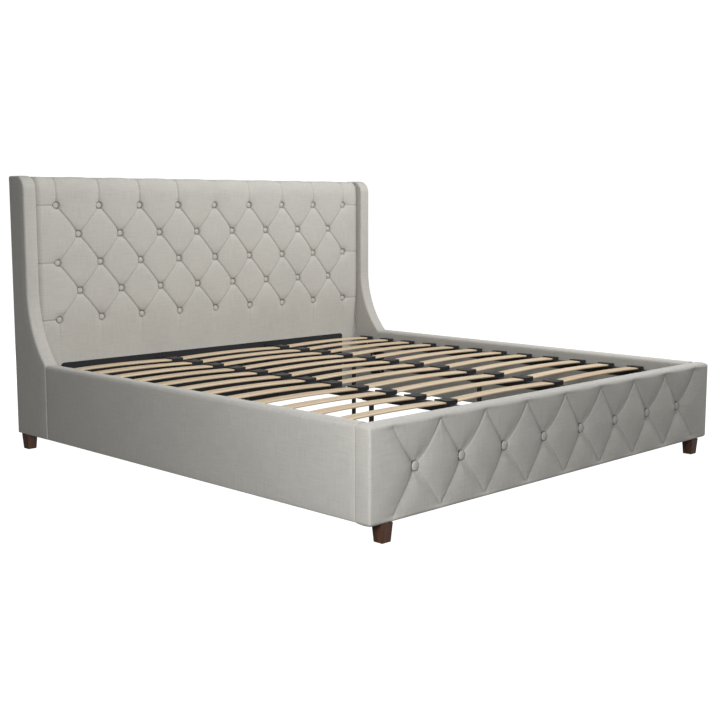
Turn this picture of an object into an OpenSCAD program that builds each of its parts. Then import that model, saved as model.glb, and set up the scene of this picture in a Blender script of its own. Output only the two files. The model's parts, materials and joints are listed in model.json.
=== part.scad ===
// Upholstered king-size bed: a button-tufted headboard between two wings, padded side rails,
// a tufted footboard, and bowed slats in sockets on a steel under-frame with centre legs.
// Millimetres. X is the width, +Y points to the head end, +Z is up.
// The origin is on the floor, at the middle of the bed's outline.

/* [Overall] */
// Width over both upholstered sides
bed_w = 2080; // [1730:5:2500]
// Length from the footboard's padded face to the headboard's back
bed_l = 2182; // [1810:2:2640]
// Height of the headboard's padded top
bed_h = 1190; // [990:5:1500]
// Height of the side rails' and footboard's top
rail_top = 390; // [385:5:470]
// Height of the upholstery's lower edge at the head and sides
rail_bottom = 70; // [56:1:84]
// Thickness of the side rails and wings, upholstery included
side_t = 60; // [48:1:72]
// Thickness of the foam and fabric round the side rails and wings
side_cover_t = 10; // [5:1:12]

/* [Headboard] */
// Depth of the tufted crowns, from the back
head_depth = 102; // [96:1:122]
// Depth of the plain lower part, from the back
lower_depth = 84; // [81:1:90]
// Depth at which the tufting buttons are pulled down, from the back
button_seat_depth = 80; // [80:0.5:84]
// Depth of the timber frame's members
timber_depth = 67; // [56:1:67]
// Width of the timber frame's members
timber_w = 38; // [30:1:46]
// Thickness of the plywood face
ply_t = 9; // [6:1:11]
// Thickness of the padding over the top rail
top_pad_t = 23; // [15:1:28]
// Thickness of the fabric over the back
back_cover_t = 2; // [1:0.5:2]
// Rows of buttons
head_rows = 5; // [3:1:6]
// Buttons in the longer rows
head_cols = 9; // [5:1:10]
// Distance from the wing to the outermost buttons
tuft_edge = 110; // [80:5:130]
// Distance from the top to the first row of buttons
tuft_top = 125; // [90:5:150]
// Height of the lowest row of buttons above the side rails
tuft_bottom = 173; // [120:5:210]
// Diameter of a headboard button
head_button_d = 26; // [20:1:31]
// Thickness of the black cloth over the lower part
dust_cloth_t = 1.5; // [1:0.5:3]
// Distance from the wing to the black cloth
dust_cloth_edge = 112; // [60:1:140]
// Distance from the side rails' top down to the black cloth
dust_cloth_drop = 19; // [10:1:24]

/* [Wings] */
// Depth of the upright part of a wing
wing_top_depth = 118; // [104:1:140]
// Depth of a wing where it meets the side rail
wing_base_depth = 246; // [206:1:295]
// Radius of the hollow curve between them
wing_curve_r = 449; // [374:1:538]
// Radius of the wing's top front corner
wing_corner_r = 58; // [30:1:69]

/* [Footboard] */
// Thickness, upholstery included
footboard_t = 70; // [62:1:84]
// Height of its lower edge
footboard_bottom = 66; // [54:1:79]
// Thickness of the board inside
footboard_core_t = 28; // [18:1:30]
// Thickness of the cover behind the board
footboard_back_t = 8; // [5:1:10]
// Thickness of the cover over the board's edges
footboard_edge_t = 14; // [8:1:17]
// Radius of the soft edges
footboard_edge_r = 16; // [8:1:19]
// Radius of the lower outer corners
footboard_corner_r = 14; // [10:1:20]
// Number of buttons
foot_buttons = 8; // [4:1:9]
// Distance from the end to the outermost button
foot_button_edge = 224; // [180:1:260]
// Height of the buttons
foot_button_z = 227; // [190:1:270]
// Depth of a button's seat behind the padded face
foot_button_seat = 20; // [16:1:24]
// Diameter of a footboard button
foot_button_d = 32; // [26:1:38]

/* [Slats] */
// Rows of slats
slat_rows = 13; // [8:1:15]
// Width of a slat
slat_w = 55; // [46:1:66]
// Thickness of a slat
slat_t = 8; // [7:0.5:9.5]
// Rise of a slat at its middle
slat_bow = 7; // [6:0.5:9]
// Distance from the headboard's back to the first row
slat_head_gap = 190; // [160:1:228]
// Distance from the footboard's face to the last row
slat_foot_gap = 152; // [152:1:182]
// Length of a single slat holder
cap_l = 38; // [34:1:44]
// Space between a single slat holder and its side rail
cap_rail_gap = 12; // [6:1:14]
// Length of half of a double slat holder
double_cap_half_l = 30; // [26:1:36]
// Wall of a slat holder
cap_wall = 3.5; // [2.5:0.5:4]
// Height of a slat's end above the steel it stands on
slat_end_rise = 7; // [6.5:0.5:8.5]

/* [Under-frame] */
// Distance of each centre rail from the middle
centre_rail_x = 333; // [278:1:400]
// Width of the rectangular tube
tube_w = 40; // [34:1:48]
// Height of the rectangular tube
tube_h = 30; // [25:1:36]
// Wall of the tube
tube_wall = 1.5; // [1.5:0.5:2.5]
// Height of the steel that the slat holders stand on
deck_z = 339; // [335:1:345]
// Width and height of the steel ledge on each side rail
ledge_w = 40; // [36:1:48]
// Thickness of the steel ledges, plates and brackets
steel_t = 3; // [2.5:0.5:3.5]
// Diameter of a centre leg
leg_d = 20; // [18:1:24]
// Wall of a centre leg
leg_wall = 1.5; // [1:0.5:2]
// Place of the head-end pair of centre legs
leg_y_head = 373; // [310:1:450]
// Place of the foot-end pair of centre legs
leg_y_foot = -400; // [-480:1:-330]
// Diameter of a levelling glide
glide_d = 30; // [25:1:36]
// Length that a levelling glide screws out
glide_travel = 15; // [10:1:18]

/* [Joint plates] */
// Height of the joint plates' middle
plate_z = 212; // [180:1:230]
// Height of a joint plate
plate_h = 125; // [104:1:150]
// Width of a flat joint plate
plate_w = 98; // [82:1:118]
// Width of each side of a corner bracket
corner_w = 60; // [50:1:72]
// Diameter of the bolts
bolt_d = 8; // [6:1:10]

/* [Feet] */
// Width of a foot at its top
foot_top_w = 50; // [44:1:56]
// Width of a foot on the floor
foot_base_w = 40; // [33:1:48]
// Distance from the side to the middle of a head-end foot
head_foot_x = 32; // [30:1:36]
// Distance from the back to the middle of a head-end foot
head_foot_y = 38; // [32:1:60]
// Distance from the side to the middle of a foot-end foot
front_foot_x = 82; // [68:1:98]
// Distance from the footboard's back to the middle of a foot-end foot
front_foot_y = 42; // [36:1:43]

/* [Hidden] */
$fn = 64;

LEFT = -1;
RIGHT = 1;

// colours
LINEN = "#B2AFA5";
TIMBER = "#D8BC8C";
PLY = "#C9A878";
BEECH = "#D5C1A0";
WALNUT = "#4A2F21";
BLACK_CLOTH = "#232326";
BLACK_STEEL = "#1E1F21";
BLACK_PLASTIC = "#2A2B2E";
ZINC = "#A9ADB2";

// clearances and small standard sizes
hole_gap = 0.5;        // round a bolt in a drilled plate
peg_gap = 0.15;        // round a slat holder's peg
slat_gap = 0.4;        // round a slat's end in its holder
seat_gap = 0.5;        // between pieces that are slid together
thread_gap = 0.06;     // round a glide's stem in its leg
flat_gap = 0.5;        // between a glide's flange and its leg
cut_over = 1;          // how far a cut runs past what it cuts
peg_d = 8;
peg_l = 8;
screw_d = 5;
screw_bite = 20;       // how far a screw reaches into a board
hanger_screw_bite = 25; // and into the headboard's middle rail
hang_bolt_d = 8;
hang_bolt_l = 80;
bolt_bite = 0.7;       // share of a board's thickness that a joint bolt reaches
bolt_edge = 21;        // from the edge of a plate or bracket to a bolt
wing_bolt_edge = 150;  // from the ends of a wing's straight parts to a bolt
wing_bolt_bite = 25;
button_t = 8;
button_crown = 3;
recess_rim = 4;        // between a button and the fabric round it
crown_rise = 20;       // from the side rails' top to where the tufting starts
board_edge_r = 1;
arc_fn = 720;          // fineness of the large arcs

// where the main faces are
hw = bed_w / 2;
hl = bed_l / 2;
well_hw = hw - side_t;
foot_inner_y = footboard_t - hl;
timber_front = back_cover_t + timber_depth;
ply_front = timber_front + ply_t;
seam_y = hl - wing_base_depth;
cloth_y = hl - lower_depth - dust_cloth_t;
frame_bottom = rail_bottom + back_cover_t;
frame_top = bed_h - top_pad_t;
core_t = side_t - 2 * side_cover_t;

// the hollow curve of a wing starts at the rail's top and ends here
wing_step = wing_base_depth - wing_top_depth;
wing_curve_top = rail_top + sqrt(pow(wing_curve_r, 2) - pow(wing_curve_r - wing_step, 2));

// tufting
head_row_top = bed_h - tuft_top;
head_row_step = (head_row_top - rail_top - tuft_bottom) / (head_rows - 1);
head_button_step = 2 * (well_hw - tuft_edge) / (head_cols - 1);
foot_button_step = (bed_w - 2 * foot_button_edge) / (foot_buttons - 1);
crown_start = rail_top + crown_rise;

// slats
slat_step = (bed_l - slat_head_gap - slat_foot_gap) / (slat_rows - 1);
slat_end_z = deck_z + slat_end_rise;
cap_w = slat_w + 2 * (slat_gap + cap_wall);
cap_mouth_rise = 11;   // top of a holder's mouth above the slat's end
cap_back_cover = 1;    // spare height over a slat at a holder's closed end
cap_mouth_z = slat_end_z + cap_mouth_rise;
cap_back_z = slat_end_z + slat_t / 2 + cap_wall + cap_back_cover;
cap_stop = 7;          // closed end of a single holder
side_slat_end = well_hw - cap_rail_gap - cap_stop;
double_cap_web = 6;    // half the web in the middle of a double holder

// centre legs
leg_plate_l = 62;
leg_bolt_edge = 10;    // from the end of a leg's plate to a bolt
leg_bolt_bite = 7;     // end of a leg's bolt inside the tube
leg_top = deck_z - tube_h;
glide_h = 10;
leg_bottom = glide_h + flat_gap;
leg_plug_h = 12;
glide_stem_l = glide_travel + leg_plug_h + leg_bolt_bite;

function slat_y(row) = hl - slat_head_gap - row * slat_step;
function row_count(row) = row % 2 == 0 ? head_cols : head_cols - 1;
function row_x(row, i) = (i - (row_count(row) - 1) / 2) * head_button_step;

// a box between two opposite corners
module span(lo, hi) {
    translate(lo) cube(hi - lo);
}

// a profile drawn in Y and Z, run along X and centred on it
module along_x(length) {
    rotate([90, 0, 90]) linear_extrude(length, center = true) children();
}

// a profile drawn in X and Z, run along Y and centred on it
module along_y(length) {
    rotate([90, 0, 0]) linear_extrude(length, center = true) children();
}

// pieces are drawn for the right-hand side and mirrored for the left
module on_side(side) {
    mirror([side == LEFT ? 1 : 0, 0, 0]) children();
}

module both_sides() {
    for (side = [LEFT, RIGHT]) on_side(side) children();
}

// rounded rectangle from the origin, all true arcs
module rounded_square(w, h, r) {
    translate([r, 0]) square([w - 2 * r, h]);
    translate([0, r]) square([w, h - 2 * r]);
    for (x = [r, w - r], y = [r, h - r]) translate([x, y]) circle(r);
}

// bolt or screw along +Z: its head is below the origin
module bolt(d, length) {
    head_d = 1.8 * d;
    head_h = 0.6 * d;
    cylinder(d = d, h = length);
    translate([0, 0, -head_h]) cylinder(d = head_d, h = head_h);
}

// the same along +X
module bolt_out(d, length) {
    rotate([0, 90, 0]) bolt(d, length);
}

// ---- headboard ----

module stile() {
    span([well_hw - timber_w, hl - timber_front, frame_bottom],
         [well_hw, hl - back_cover_t, frame_top]);
}

module cross_rail(z) {
    inner = well_hw - timber_w;
    span([-inner, hl - timber_front, z],
         [inner, hl - back_cover_t, z + timber_w]);
}

middle_rail_z = deck_z - timber_w / 4;

module headboard_stile_left() {
    color(TIMBER) on_side(LEFT) stile();
}

module headboard_stile_right() {
    color(TIMBER) on_side(RIGHT) stile();
}

module headboard_top_rail() {
    color(TIMBER) cross_rail(frame_top - timber_w);
}

module headboard_middle_rail() {
    color(TIMBER) cross_rail(middle_rail_z);
}

module headboard_bottom_rail() {
    color(TIMBER) cross_rail(frame_bottom);
}

// two studs below the middle rail and two above it
module headboard_uprights() {
    below = [frame_bottom + timber_w, middle_rail_z];
    above = [middle_rail_z + timber_w, frame_top - timber_w];
    color(TIMBER) both_sides() for (part = [below, above])
        span([centre_rail_x - timber_w / 2, hl - timber_front, part[0]],
             [centre_rail_x + timber_w / 2, hl - back_cover_t, part[1]]);
}

module headboard_plywood() {
    color(PLY) span([-well_hw, hl - ply_front, frame_bottom], [well_hw, hl - ply_front + ply_t, frame_top]);
}

// side view of the foam and fabric: depth from the back runs towards the foot end
module tufted_profile() {
    crown_r = head_depth - ply_front;
    back_r = top_pad_t / 2;
    translate([ply_front, rail_bottom]) square([lower_depth - ply_front, bed_h - rail_bottom - crown_r]);
    translate([ply_front, crown_start]) square([head_depth - ply_front, bed_h - crown_r - crown_start]);
    translate([back_r, frame_top]) square([head_depth - crown_r - back_r, top_pad_t]);
    translate([0, frame_top]) square([head_depth - crown_r, top_pad_t - back_r]);
    translate([back_r, bed_h - back_r]) circle(back_r);
    translate([ply_front, bed_h - crown_r]) intersection() {
        circle(crown_r);
        square(crown_r);
    }
}

module head_button_places(depth) {
    for (row = [0 : head_rows - 1], i = [0 : row_count(row) - 1])
        translate([row_x(row, i), hl - depth, head_row_top - row * head_row_step])
            rotate([90, 0, 0]) children();
}

module headboard_tufted_cover() {
    color(LINEN) difference() {
        translate([0, hl, 0]) mirror([0, 1, 0]) along_x(2 * well_hw) tufted_profile();
        head_button_places(button_seat_depth) cylinder(d = head_button_d + 2 * recess_rim, h = head_depth);
    }
}

// covered button: a flat back, a straight rim and a domed face, along +Z
module covered_button(d) {
    dome_r = (pow(d / 2, 2) + pow(button_crown, 2)) / (2 * button_crown);
    rim = button_t - button_crown;
    rotate_extrude() intersection() {
        union() {
            square([d / 2, rim]);
            translate([0, button_t - dome_r]) circle(dome_r, $fn = 256);
        }
        square([d / 2, button_t]);
    }
}

module headboard_buttons() {
    color(LINEN) head_button_places(button_seat_depth) covered_button(head_button_d);
}

module headboard_dust_cloth() {
    cloth_hw = well_hw - dust_cloth_edge;
    color(BLACK_CLOTH) span([-cloth_hw, cloth_y, frame_bottom],
                            [cloth_hw, hl - lower_depth, rail_top - dust_cloth_drop]);
}

module headboard_back_cover() {
    color(LINEN) span([-well_hw, hl - back_cover_t, rail_bottom], [well_hw, hl, frame_top]);
}

// ---- wings ----

// side view of a wing, drawn in by the inset all round: depth runs towards the foot end
module wing_outline(inset) {
    corner_r = wing_corner_r - inset;
    top = bed_h - inset;
    bottom = rail_bottom + inset;
    front = wing_top_depth - inset;
    difference() {
        translate([inset, bottom]) square([wing_base_depth - 2 * inset, wing_curve_top - bottom]);
        translate([wing_top_depth + wing_curve_r, wing_curve_top]) circle(wing_curve_r + inset, $fn = arc_fn);
        translate([wing_base_depth - 2 * inset, rail_top - inset]) square([wing_base_depth, wing_curve_r]);
    }
    translate([inset, wing_curve_top - 1]) square([front - inset, top - corner_r - wing_curve_top + 1]);
    translate([inset, top - corner_r]) square([front - corner_r - inset, corner_r]);
    translate([front - corner_r, top - corner_r]) circle(corner_r);
}

module wing_slab(inset) {
    translate([hw - side_t / 2, hl, 0]) mirror([0, 1, 0]) along_x(side_t - 2 * inset) wing_outline(inset);
}

module wing_cover() {
    difference() {
        wing_slab(0);
        wing_slab(side_cover_t);
    }
}

module wing_board_left() {
    color(TIMBER) on_side(LEFT) wing_slab(side_cover_t);
}

module wing_board_right() {
    color(TIMBER) on_side(RIGHT) wing_slab(side_cover_t);
}

module wing_cover_left() {
    color(LINEN) on_side(LEFT) wing_cover();
}

module wing_cover_right() {
    color(LINEN) on_side(RIGHT) wing_cover();
}

// bolts from inside the stiles into the wing boards
module wing_bolts() {
    y = hl - timber_front + timber_depth / 2;
    heights = [rail_bottom + wing_bolt_edge, rail_top + wing_bolt_edge, bed_h - wing_bolt_edge];
    color(ZINC) both_sides() for (z = heights)
        translate([well_hw - timber_w, y, z]) bolt_out(bolt_d, timber_w + side_cover_t + wing_bolt_bite);
}

// ---- side rails ----

module side_rail(inset) {
    length = seam_y - foot_inner_y - 2 * inset;
    edge_r = inset > 0 ? board_edge_r : side_cover_t;
    translate([hw - side_t + inset, (seam_y + foot_inner_y) / 2, rail_bottom + inset]) along_y(length)
        rounded_square(side_t - 2 * inset, rail_top - rail_bottom - 2 * inset, edge_r);
}

module side_rail_cover() {
    difference() {
        side_rail(0);
        side_rail(side_cover_t);
    }
}

module side_rail_board_left() {
    color(TIMBER) on_side(LEFT) side_rail(side_cover_t);
}

module side_rail_board_right() {
    color(TIMBER) on_side(RIGHT) side_rail(side_cover_t);
}

module side_rail_cover_left() {
    color(LINEN) on_side(LEFT) side_rail_cover();
}

module side_rail_cover_right() {
    color(LINEN) on_side(RIGHT) side_rail_cover();
}

// ---- footboard ----

module footboard_board() {
    y = foot_inner_y - footboard_back_t;
    edge = footboard_edge_t;
    color(TIMBER) span([edge - hw, y - footboard_core_t, footboard_bottom + edge],
                       [hw - edge, y, rail_top - edge]);
}

module foot_button_places() {
    for (i = [0 : foot_buttons - 1])
        translate([(i - (foot_buttons - 1) / 2) * foot_button_step, foot_button_seat - hl, foot_button_z])
            rotate([90, 0, 0]) children();
}

module footboard_tufted_cover() {
    height = rail_top - footboard_bottom;
    color(LINEN) difference() {
        intersection() {
            translate([0, -hl, footboard_bottom]) along_x(bed_w)
                rounded_square(footboard_t, height, footboard_edge_r);
            translate([-hw, footboard_t / 2 - hl, footboard_bottom]) along_y(footboard_t)
                rounded_square(bed_w, height, footboard_corner_r);
        }
        footboard_board();
        foot_button_places() cylinder(d = foot_button_d + 2 * recess_rim, h = footboard_t);
    }
}

module footboard_buttons() {
    color(LINEN) foot_button_places() covered_button(foot_button_d);
}

// ---- joint plates, corner brackets and their bolts ----

// places of a plate's upper and lower bolts
bolt_z = [plate_z - plate_h / 2 + bolt_edge, plate_z + plate_h / 2 - bolt_edge];
plate_bolt_y = plate_w / 2 - bolt_edge;
corner_bolt = corner_w - bolt_edge;

module flat_plate_bolts() {
    for (y = [seam_y - plate_bolt_y, seam_y + plate_bolt_y], z = bolt_z)
        translate([well_hw - steel_t, y, z]) children();
}

module corner_side_bolts() {
    for (z = bolt_z) translate([well_hw - steel_t, foot_inner_y + corner_bolt, z]) children();
}

module corner_foot_bolts() {
    for (z = bolt_z) translate([well_hw - corner_bolt, foot_inner_y + steel_t, z])
        rotate([0, 0, -90]) children();
}

module bolt_hole() {
    translate([-cut_over, 0, 0]) rotate([0, 90, 0])
        cylinder(d = bolt_d + 2 * hole_gap, h = steel_t + 2 * cut_over);
}

module flat_plate() {
    difference() {
        span([well_hw - steel_t, seam_y - plate_w / 2, plate_z - plate_h / 2],
             [well_hw, seam_y + plate_w / 2, plate_z + plate_h / 2]);
        flat_plate_bolts() bolt_hole();
    }
}

module corner_bracket() {
    z = [plate_z - plate_h / 2, plate_z + plate_h / 2];
    difference() {
        union() {
            span([well_hw - steel_t, foot_inner_y, z[0]], [well_hw, foot_inner_y + corner_w, z[1]]);
            span([well_hw - corner_w, foot_inner_y, z[0]], [well_hw, foot_inner_y + steel_t, z[1]]);
        }
        corner_side_bolts() bolt_hole();
        corner_foot_bolts() bolt_hole();
    }
}

module joint_plate_left() {
    color(BLACK_STEEL) on_side(LEFT) flat_plate();
}

module joint_plate_right() {
    color(BLACK_STEEL) on_side(RIGHT) flat_plate();
}

module corner_bracket_left() {
    color(BLACK_STEEL) on_side(LEFT) corner_bracket();
}

module corner_bracket_right() {
    color(BLACK_STEEL) on_side(RIGHT) corner_bracket();
}

module joint_bolts() {
    reach = steel_t + side_cover_t + bolt_bite * core_t;
    foot_reach = steel_t + footboard_back_t + bolt_bite * footboard_core_t;
    color(ZINC) both_sides() {
        flat_plate_bolts() bolt_out(bolt_d, reach);
        corner_side_bolts() bolt_out(bolt_d, reach);
        corner_foot_bolts() bolt_out(bolt_d, foot_reach);
    }
}

// ---- steel ledges for the outer slat holders ----

side_cap_x = well_hw - cap_rail_gap - cap_l / 2;
ledge_end_gap = 6;
ledge_ends = [foot_inner_y + ledge_end_gap, cloth_y - ledge_end_gap];
ledge_screw_count = 7;
ledge_screw_end = 80;
ledge_screw_drop = 24;

module peg_holes(x, depth) {
    for (row = [0 : slat_rows - 1]) translate([x, slat_y(row), deck_z - depth])
        cylinder(d = peg_d + 2 * peg_gap, h = depth + cut_over);
}

module ledge_screw_places() {
    step = (ledge_ends[1] - ledge_ends[0] - 2 * ledge_screw_end) / (ledge_screw_count - 1);
    for (i = [0 : ledge_screw_count - 1])
        translate([well_hw - steel_t, ledge_ends[0] + ledge_screw_end + i * step, deck_z - ledge_screw_drop])
            children();
}

module ledge() {
    difference() {
        union() {
            span([well_hw - ledge_w, ledge_ends[0], deck_z - steel_t], [well_hw, ledge_ends[1], deck_z]);
            span([well_hw - steel_t, ledge_ends[0], deck_z - ledge_w], [well_hw, ledge_ends[1], deck_z]);
        }
        peg_holes(side_cap_x, steel_t + cut_over);
        ledge_screw_places() translate([-cut_over, 0, 0]) rotate([0, 90, 0])
            cylinder(d = screw_d + 2 * hole_gap, h = steel_t + 2 * cut_over);
    }
}

module ledge_left() {
    color(BLACK_STEEL) on_side(LEFT) ledge();
}

module ledge_right() {
    color(BLACK_STEEL) on_side(RIGHT) ledge();
}

module ledge_screws() {
    color(ZINC) both_sides() ledge_screw_places() bolt_out(screw_d, steel_t + side_cover_t + screw_bite);
}

// ---- centre rails and the hangers at their ends ----

hanger_faces = [foot_inner_y, cloth_y];
hanger_lip = 20;
hanger_l = 45;
tube_ends = [foot_inner_y + steel_t + seat_gap, cloth_y - steel_t - seat_gap];
hanger_hw = tube_w / 2 + seat_gap + steel_t;
hanger_screw_x = 13;

module leg_bolt_places(y) {
    step = leg_plate_l / 2 - leg_bolt_edge;
    for (dy = [-step, step]) translate([centre_rail_x, y + dy, leg_top - steel_t]) children();
}

module leg_bolt_hole() {
    translate([0, 0, -cut_over])
        cylinder(d = screw_d + 2 * hole_gap, h = steel_t + tube_wall + 2 * cut_over);
}

module centre_rail() {
    difference() {
        span([centre_rail_x - tube_w / 2, tube_ends[0], deck_z - tube_h],
             [centre_rail_x + tube_w / 2, tube_ends[1], deck_z]);
        span([centre_rail_x - tube_w / 2 + tube_wall, tube_ends[0] - cut_over, deck_z - tube_h + tube_wall],
             [centre_rail_x + tube_w / 2 - tube_wall, tube_ends[1] + cut_over, deck_z - tube_wall]);
        peg_holes(centre_rail_x, tube_wall + cut_over);
        leg_bolt_places(leg_y_head) leg_bolt_hole();
        leg_bolt_places(leg_y_foot) leg_bolt_hole();
    }
}

module centre_rail_left() {
    color(BLACK_STEEL) on_side(LEFT) centre_rail();
}

module centre_rail_right() {
    color(BLACK_STEEL) on_side(RIGHT) centre_rail();
}

module hanger_screw_places() {
    for (x = [-hanger_screw_x, hanger_screw_x])
        translate([centre_rail_x + x, steel_t, deck_z + hanger_lip / 2]) children();
}

// open steel cradle: a back plate with a lip for screws, a floor and two cheeks
module hanger() {
    low = deck_z - tube_h - steel_t;
    translate([centre_rail_x - hanger_hw, 0, low])
        cube([2 * hanger_hw, steel_t, tube_h + steel_t + hanger_lip]);
    translate([centre_rail_x - hanger_hw, 0, low]) cube([2 * hanger_hw, hanger_l, steel_t]);
    for (x = [-hanger_hw, hanger_hw - steel_t]) translate([centre_rail_x + x, 0, low])
        cube([steel_t, hanger_l, tube_h]);
}

module drilled_hanger() {
    difference() {
        hanger();
        hanger_screw_places() translate([0, cut_over, 0]) rotate([90, 0, 0])
            cylinder(d = screw_d + 2 * hole_gap, h = steel_t + 2 * cut_over);
    }
}

module foot_hangers() {
    color(BLACK_STEEL) both_sides() translate([0, hanger_faces[0], 0]) drilled_hanger();
}

module head_hangers() {
    color(BLACK_STEEL) both_sides() translate([0, hanger_faces[1], 0]) mirror([0, 1, 0]) drilled_hanger();
}

module hanger_screws() {
    head_reach = steel_t + dust_cloth_t + lower_depth - timber_front + hanger_screw_bite;
    foot_reach = steel_t + footboard_back_t + bolt_bite * footboard_core_t;
    color(BLACK_STEEL) both_sides() {
        translate([0, hanger_faces[0], 0]) hanger_screw_places() rotate([0, 0, -90])
            bolt_out(screw_d, foot_reach);
        translate([0, hanger_faces[1], 0]) mirror([0, 1, 0]) hanger_screw_places() rotate([0, 0, -90])
            bolt_out(screw_d, head_reach);
    }
}

// ---- centre legs with levelling glides ----

module centre_leg(y) {
    difference() {
        union() {
            span([centre_rail_x - tube_w / 2, y - leg_plate_l / 2, leg_top - steel_t],
                 [centre_rail_x + tube_w / 2, y + leg_plate_l / 2, leg_top]);
            translate([centre_rail_x, y, leg_bottom]) cylinder(d = leg_d, h = leg_top - steel_t - leg_bottom);
        }
        translate([centre_rail_x, y, leg_bottom + leg_plug_h])
            cylinder(d = leg_d - 2 * leg_wall, h = leg_top - steel_t - leg_bottom - leg_plug_h);
        translate([centre_rail_x, y, leg_bottom - cut_over])
            cylinder(d = bolt_d + 2 * thread_gap, h = leg_plug_h + 2 * cut_over);
        leg_bolt_places(y) leg_bolt_hole();
    }
}

// plastic foot moulded round a threaded stem
module glide(y) {
    translate([centre_rail_x, y, 0]) {
        cylinder(d = glide_d, h = glide_h);
        cylinder(d = bolt_d, h = glide_h + glide_stem_l);
    }
}

module centre_leg_head_left() {
    color(BLACK_STEEL) on_side(LEFT) centre_leg(leg_y_head);
}

module centre_leg_head_right() {
    color(BLACK_STEEL) on_side(RIGHT) centre_leg(leg_y_head);
}

module centre_leg_foot_left() {
    color(BLACK_STEEL) on_side(LEFT) centre_leg(leg_y_foot);
}

module centre_leg_foot_right() {
    color(BLACK_STEEL) on_side(RIGHT) centre_leg(leg_y_foot);
}

module leg_bolts() {
    color(ZINC) both_sides() for (y = [leg_y_head, leg_y_foot])
        leg_bolt_places(y) bolt(screw_d, steel_t + tube_wall + leg_bolt_bite);
}

module glide_head_left() {
    color(BLACK_PLASTIC) on_side(LEFT) glide(leg_y_head);
}

module glide_head_right() {
    color(BLACK_PLASTIC) on_side(RIGHT) glide(leg_y_head);
}

module glide_foot_left() {
    color(BLACK_PLASTIC) on_side(LEFT) glide(leg_y_foot);
}

module glide_foot_right() {
    color(BLACK_PLASTIC) on_side(RIGHT) glide(leg_y_foot);
}

// ---- slats and their holders ----

// front view of a bowed slat between two X places, thickened all over by the gap
module bow(x0, x1, gap) {
    chord = x1 - x0;
    r = (pow(chord / 2, 2) + pow(slat_bow, 2)) / (2 * slat_bow);
    intersection() {
        translate([(x0 + x1) / 2, slat_end_z + slat_bow - r]) difference() {
            circle(r + slat_t / 2 + gap, $fn = arc_fn);
            circle(r - slat_t / 2 - gap, $fn = arc_fn);
        }
        translate([x0 - gap, slat_end_z - 2 * slat_t]) square([chord + 2 * gap, slat_bow + 4 * slat_t]);
    }
}

module slat_row(x0, x1, gap) {
    for (row = [0 : slat_rows - 1])
        translate([0, slat_y(row), 0]) along_y(slat_w + 2 * gap) bow(x0, x1, gap);
}

module outer_slats(gap) {
    slat_row(centre_rail_x + double_cap_web, side_slat_end, gap);
}

module middle_slats(gap) {
    slat_row(double_cap_web - centre_rail_x, centre_rail_x - double_cap_web, gap);
}

module slats_left() {
    color(BEECH) on_side(LEFT) outer_slats(0);
}

module slats_middle() {
    color(BEECH) middle_slats(0);
}

module slats_right() {
    color(BEECH) on_side(RIGHT) outer_slats(0);
}

module pegs(x) {
    for (row = [0 : slat_rows - 1]) translate([x, slat_y(row), deck_z - peg_l])
        cylinder(d = peg_d, h = peg_l + cut_over);
}

// single holder at the outer end of each slat
module side_caps() {
    x = [side_cap_x - cap_l / 2, side_cap_x + cap_l / 2];
    difference() {
        for (row = [0 : slat_rows - 1]) translate([0, slat_y(row), 0]) along_y(cap_w)
            polygon([[x[0], deck_z], [x[1], deck_z], [x[1], cap_back_z], [x[0], cap_mouth_z]]);
        outer_slats(slat_gap);
    }
    pegs(side_cap_x);
}

// double holder on a centre rail, open to both sides
module double_caps() {
    x = double_cap_half_l;
    difference() {
        for (row = [0 : slat_rows - 1]) translate([centre_rail_x, slat_y(row), 0]) along_y(cap_w)
            polygon([[-x, deck_z], [x, deck_z], [x, cap_mouth_z], [0, cap_back_z], [-x, cap_mouth_z]]);
        outer_slats(slat_gap);
        middle_slats(slat_gap);
    }
    pegs(centre_rail_x);
}

module side_caps_left() {
    color(BLACK_PLASTIC) on_side(LEFT) side_caps();
}

module side_caps_right() {
    color(BLACK_PLASTIC) on_side(RIGHT) side_caps();
}

module double_caps_left() {
    color(BLACK_PLASTIC) on_side(LEFT) double_caps();
}

module double_caps_right() {
    color(BLACK_PLASTIC) on_side(RIGHT) double_caps();
}

// ---- wooden feet ----

head_foot = [hw - head_foot_x, hl - head_foot_y, rail_bottom];
front_foot = [hw - front_foot_x, foot_inner_y - front_foot_y, footboard_bottom];
board_mid_y = foot_inner_y - footboard_back_t - footboard_core_t / 2;

// square foot that tapers to the floor
module tapered_foot(place) {
    translate([place[0], place[1], 0])
        linear_extrude(place[2], scale = foot_top_w / foot_base_w) square(foot_base_w, center = true);
}

module foot_head_left() {
    color(WALNUT) on_side(LEFT) tapered_foot(head_foot);
}

module foot_head_right() {
    color(WALNUT) on_side(RIGHT) tapered_foot(head_foot);
}

module foot_front_left() {
    color(WALNUT) on_side(LEFT) tapered_foot(front_foot);
}

module foot_front_right() {
    color(WALNUT) on_side(RIGHT) tapered_foot(front_foot);
}

// hanger bolts, half in the foot and half in the board above it
module foot_bolts() {
    front_bolt = [front_foot[0], board_mid_y, front_foot[2]];
    color(ZINC) both_sides() for (place = [head_foot, front_bolt])
        translate([place[0], place[1], place[2] - hang_bolt_l / 2]) cylinder(d = hang_bolt_d, h = hang_bolt_l);
}

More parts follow.
